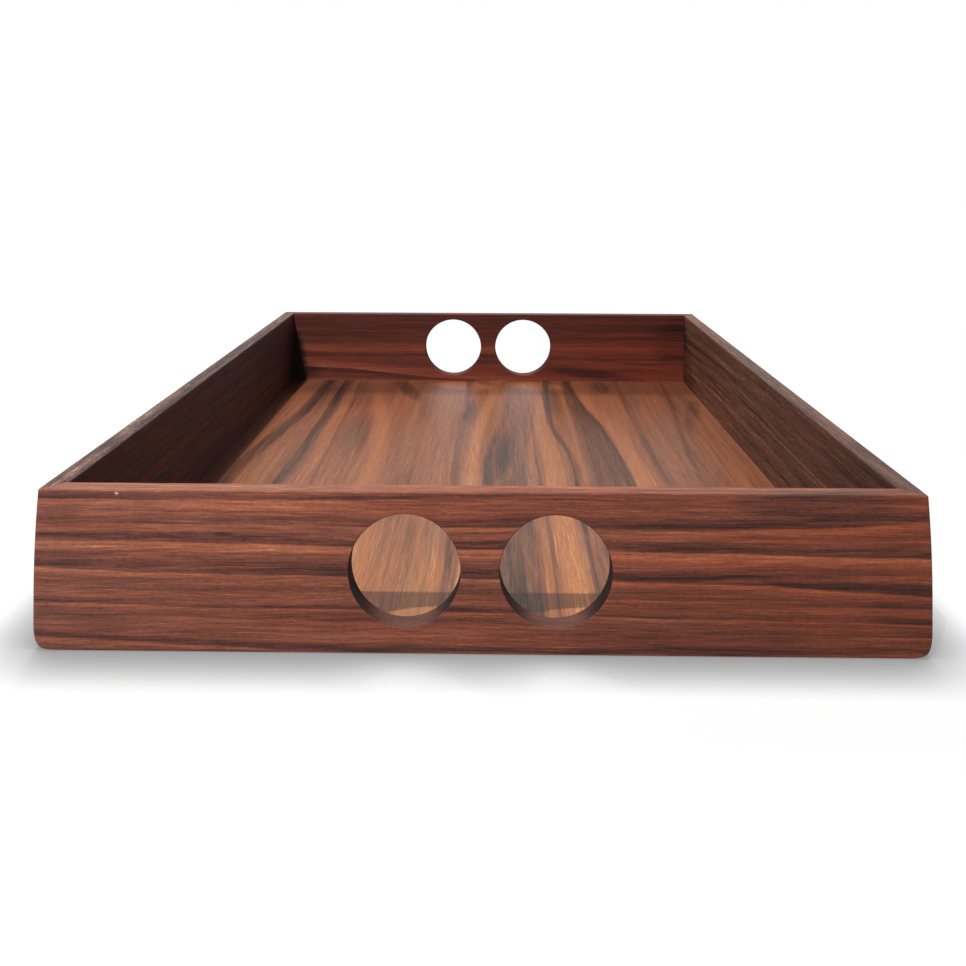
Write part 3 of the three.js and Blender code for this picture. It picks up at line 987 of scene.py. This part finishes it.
def make_camera():
    """The camera, at the photograph's place and with its frame."""
    data = bpy.data.cameras.new("camera")
    data.sensor_width = SENSOR
    data.lens = FOCAL_PX / PHOTO_SIDE * SENSOR
    data.shift_x = (PHOTO_SIDE / 2 - CENTRE_PX[0]) / PHOTO_SIDE
    data.shift_y = (CENTRE_PX[1] - PHOTO_SIDE / 2) / PHOTO_SIDE
    data.clip_start = CAMERA_NEAR
    camera = bpy.data.objects.new("camera", data)
    bpy.context.scene.collection.objects.link(camera)
    camera.location = (CAMERA_X, -TRAY_LENGTH / 2 - CAMERA_BACK, CAMERA_HEIGHT)
    forward = Vector((math.sin(CAMERA_YAW), math.cos(CAMERA_YAW), 0))
    level_right = Vector((math.cos(CAMERA_YAW), -math.sin(CAMERA_YAW), 0))
    level_up = level_right.cross(forward)
    right = level_right * math.cos(CAMERA_ROLL) + level_up * math.sin(CAMERA_ROLL)
    up = right.cross(forward)
    camera.rotation_mode = "QUATERNION"
    camera.rotation_quaternion = Matrix((right, up, -forward)).transposed().to_quaternion()
    bpy.context.scene.camera = camera


# The light. A small key stands high in front, to the left, and a window high behind, to the left.
# The shadows of the front, left and back boards on the floor panel show where they are. The oiled wood
# doesn't mirror the window.
KEY_PLACE = Vector((-0.616, -1.40, 2.264))
KEY_SIZE = 0.07
KEY_LEVEL = 1.0
WINDOW_PLACE = Vector((-0.60, 1.70, 1.80))
WINDOW_SIZE = 0.5
WINDOW_LEVEL = 0.75
AMBIENT_LEVEL = 0.03


def make_lamp(name, place, level, size):
    """A disk lamp whose light on a white face turned towards it, at the tray, renders at this level."""
    aim = Vector((0, 0, TRAY_HEIGHT / 2))
    data = bpy.data.lights.new(name, "AREA")
    data.shape = "DISK"
    data.size = size
    data.energy = level * math.pi ** 2 * (place - aim).length_squared
    lamp = bpy.data.objects.new(name, data)
    bpy.context.scene.collection.objects.link(lamp)
    lamp.location = place
    lamp.rotation_mode = "QUATERNION"
    lamp.rotation_quaternion = (place - aim).to_track_quat("Z", "Y")
    return lamp


def make_world():
    """White where it is seen, and a low even light on the tray."""
    world = bpy.data.worlds.new("studio")
    bpy.context.scene.world = world
    world.use_nodes = True
    graph = Graph(world.node_tree)
    background = world.node_tree.nodes["Background"]
    background.inputs["Color"].default_value = (1.0, 1.0, 1.0, 1.0)
    path = graph.node("ShaderNodeLightPath")
    reflected = graph.maximum(path.output("Is Glossy Ray"), path.output("Is Transmission Ray"))
    seen = graph.maximum(path.output("Is Camera Ray"), reflected)
    graph.feed(background.inputs["Strength"], graph.step(seen, 0.0, 1.0, AMBIENT_LEVEL, 1.0, "LINEAR"))


# The pale floor: its size, its grey in the light and as it is seen, its glow, the reach, depth, fall and
# fineness of the shade close to the tray, and where the glow starts to turn full white and is.
GROUND_SIZE = 12.0
GROUND_GREY = 0.62
GROUND_SEEN_GREY = 0.1
GROUND_GLOW = 0.9
CONTACT_REACH = 30 * MM
CONTACT_LEVEL = 0.3
CONTACT_FALL = 3.5
CONTACT_SAMPLES = 32
FADE_START = 0.5
FADE_END = 1.5


def make_ground():
    """The pale floor: white where it is seen, but darker close to the tray and in its shadow."""
    half = GROUND_SIZE / 2
    corners = [(-half, -half, 0), (half, -half, 0), (half, half, 0), (-half, half, 0)]
    mesh = bpy.data.meshes.new("ground")
    mesh.from_pydata(corners, [], [(0, 1, 2, 3)])
    ground = bpy.data.objects.new("ground", mesh)
    bpy.context.scene.collection.objects.link(ground)
    mat, graph = new_material("pale ground")
    path = graph.node("ShaderNodeLightPath")
    seen = graph.maximum(path.output("Is Camera Ray"), path.output("Is Transmission Ray"))
    occlusion = graph.node(
        "ShaderNodeAmbientOcclusion", samples=CONTACT_SAMPLES, named={"Distance": CONTACT_REACH})
    open_sky = graph.math("POWER", occlusion.output("AO"), CONTACT_FALL)
    shade = CONTACT_LEVEL + open_sky * (1.0 - CONTACT_LEVEL)
    grey = graph.step(seen, 0.0, 1.0, GROUND_GREY, shade * GROUND_SEEN_GREY, "LINEAR")
    diffuse = graph.node("ShaderNodeBsdfDiffuse", graph.join(grey, grey, grey))
    centre = graph.node("ShaderNodeTexCoord").output("Object")
    away = graph.node("ShaderNodeVectorMath", centre, operation="LENGTH", out=1)
    level = graph.step(away, FADE_START, FADE_END, GROUND_GLOW, 1.0)
    glow = graph.node("ShaderNodeEmission", (1.0, 1.0, 1.0, 1.0), seen * shade * level)
    show(mat, graph, graph.node("ShaderNodeAddShader", diffuse, glow))
    mesh.materials.append(mat)


bpy.context.scene.view_settings.view_transform = "Standard"
make_camera()
make_world()
make_lamp("key", KEY_PLACE, KEY_LEVEL, KEY_SIZE)
window = make_lamp("window", WINDOW_PLACE, WINDOW_LEVEL, WINDOW_SIZE)
window.visible_glossy = False
make_ground()
make_boards()
finish_inner_pieces()
